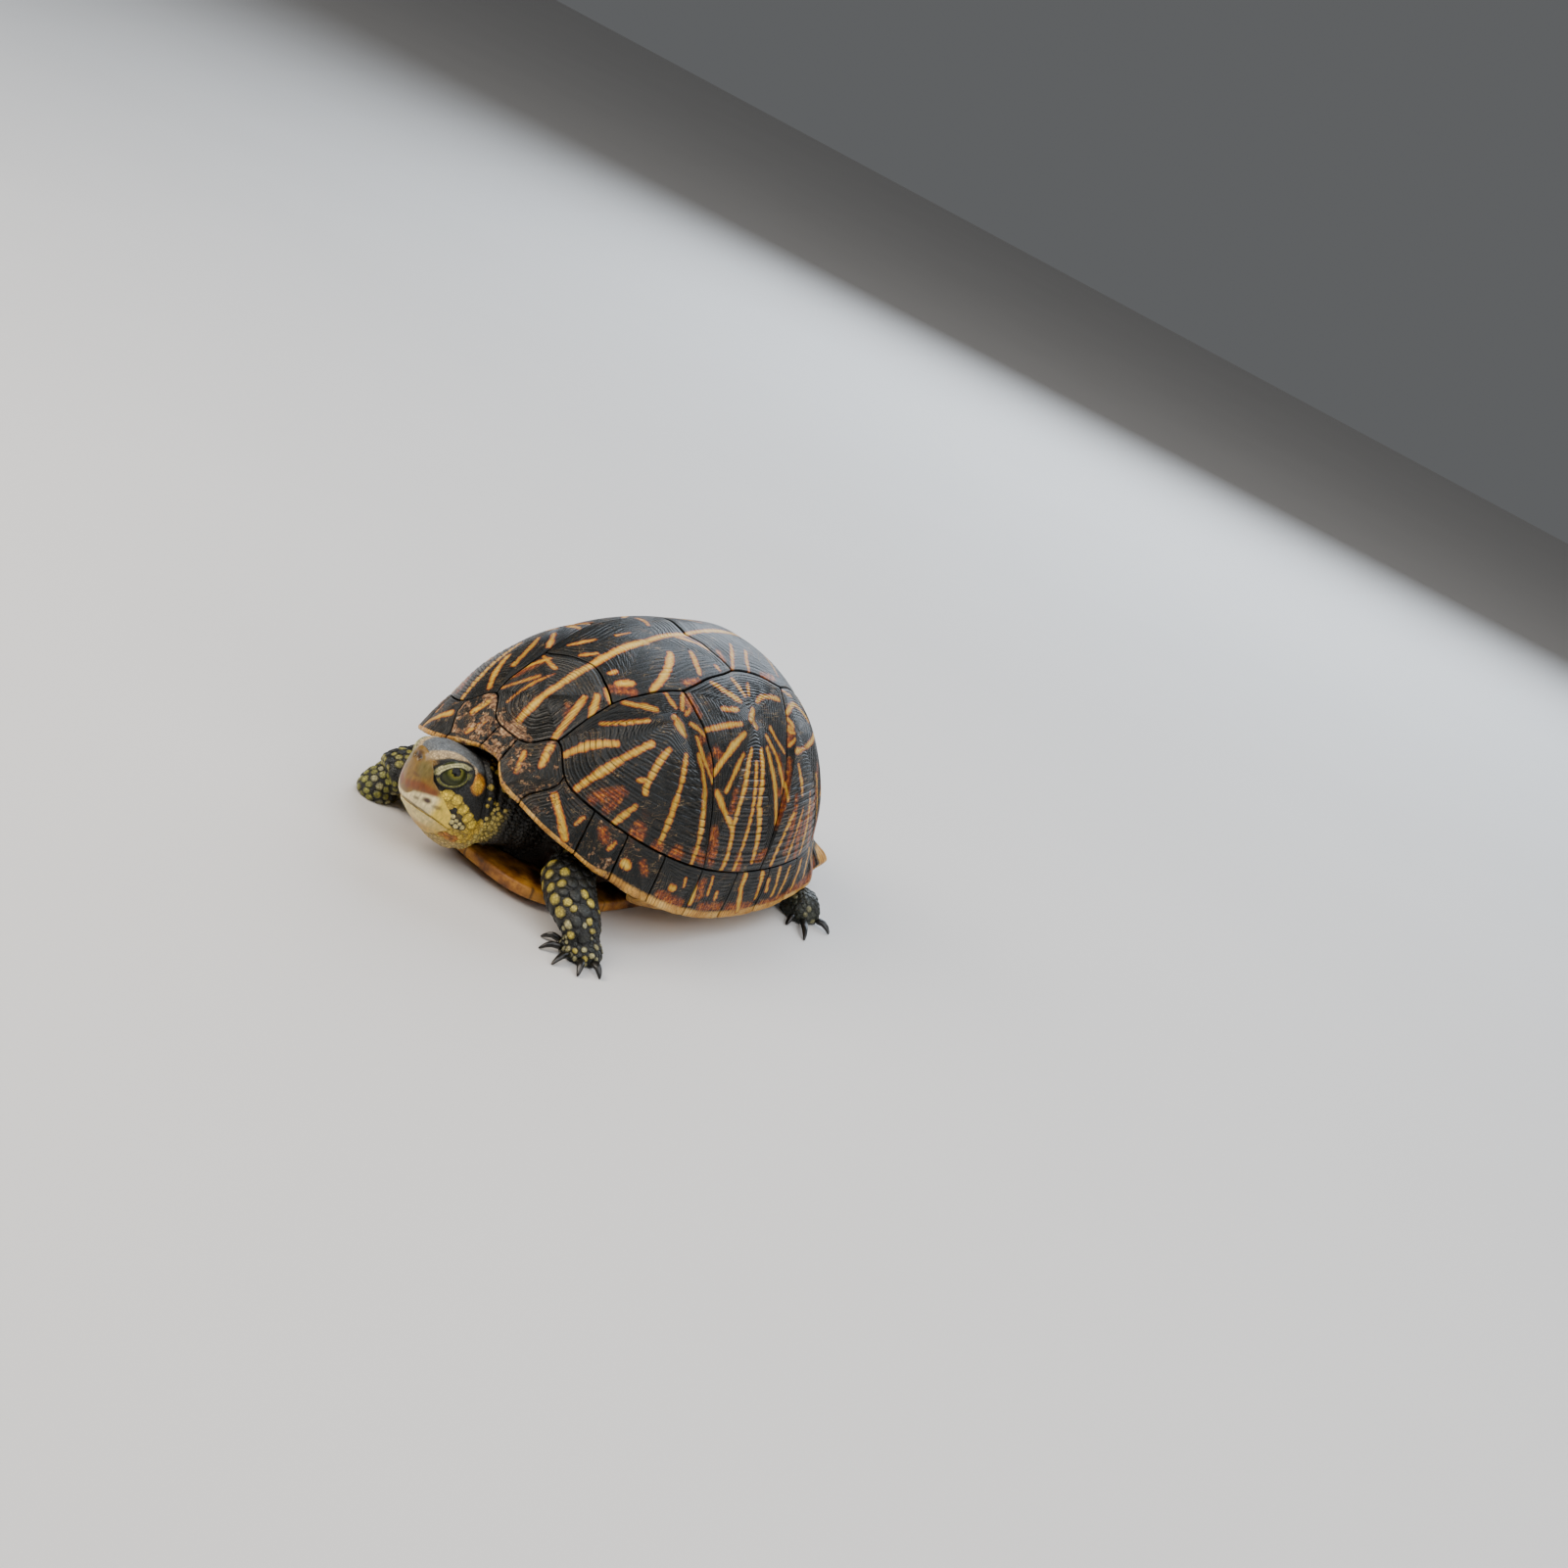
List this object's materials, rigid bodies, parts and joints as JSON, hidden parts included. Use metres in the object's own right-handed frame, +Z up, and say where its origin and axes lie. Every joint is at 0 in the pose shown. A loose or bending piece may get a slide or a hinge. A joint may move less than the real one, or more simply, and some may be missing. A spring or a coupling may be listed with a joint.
{
  "type": "box turtle display model",
  "caption": "Life-size still model of an adult Florida box turtle lying on its plastron, high domed dark shell with yellow rays, head out and turned to its right.",
  "frame": {"origin": "on the floor, under the middle of the plastron's flat underside", "axes": "+Z up, the head end towards -Y, the turtle's own left side towards +X"},
  "size_m": [0.1145, 0.1553, 0.0747],
  "materials": {
    "scute": "horn scutes of the dome, near black with yellow rays, satin gloss",
    "rim": "horn scutes of the rim, dark with yellow rays and a tan lower edge, satin",
    "plastron": "horn scutes of the underside, orange tan with dark marks, worn satin",
    "skin": "dry scaly skin, near black with yellow spots, matt",
    "beak": "horn beak, orange brown fading to cream, satin gloss",
    "eye": "wet eye, dark green and gold iris round a black pupil",
    "claw": "black horn claws, satin gloss"
  },
  "bodies": {
    "root": {"costal_left_1": "scute", "costal_left_2": "scute", "costal_left_3": "scute", "costal_left_4": "scute", "costal_right_1": "scute", "costal_right_2": "scute", "costal_right_3": "scute", "costal_right_4": "scute", "eye_left": "eye", "eye_right": "eye", "foreclaw_left_1": "claw", "foreclaw_left_2": "claw", "foreclaw_left_3": "claw", "foreclaw_left_4": "claw", "foreclaw_left_5": "claw", "foreclaw_right_1": "claw", "foreclaw_right_2": "claw", "foreclaw_right_3": "claw", "foreclaw_right_4": "claw", "foreclaw_right_5": "claw", "forefoot_left": "skin", "forefoot_right": "skin", "foreleg_left": "skin", "foreleg_right": "skin", "head": "skin", "hindclaw_left_1": "claw", "hindclaw_left_2": "claw", "hindclaw_left_3": "claw", "hindclaw_right_1": "claw", "hindclaw_right_2": "claw", "hindclaw_right_3": "claw", "hindfoot_left": "skin", "hindfoot_right": "skin", "hindleg_left": "skin", "hindleg_right": "skin", "lower_beak": "beak", "marginals_left_front": "rim", "marginals_left_rear": "rim", "marginals_right_front": "rim", "marginals_right_rear": "rim", "neck": "skin", "nuchal": "rim", "plastron_front": "plastron", "plastron_rear": "plastron", "tail": "skin", "trunk": "skin", "upper_beak": "beak", "vertebral_1": "scute", "vertebral_2": "scute", "vertebral_3": "scute", "vertebral_4": "scute", "vertebral_5": "scute"}
  },
  "joints": []
}
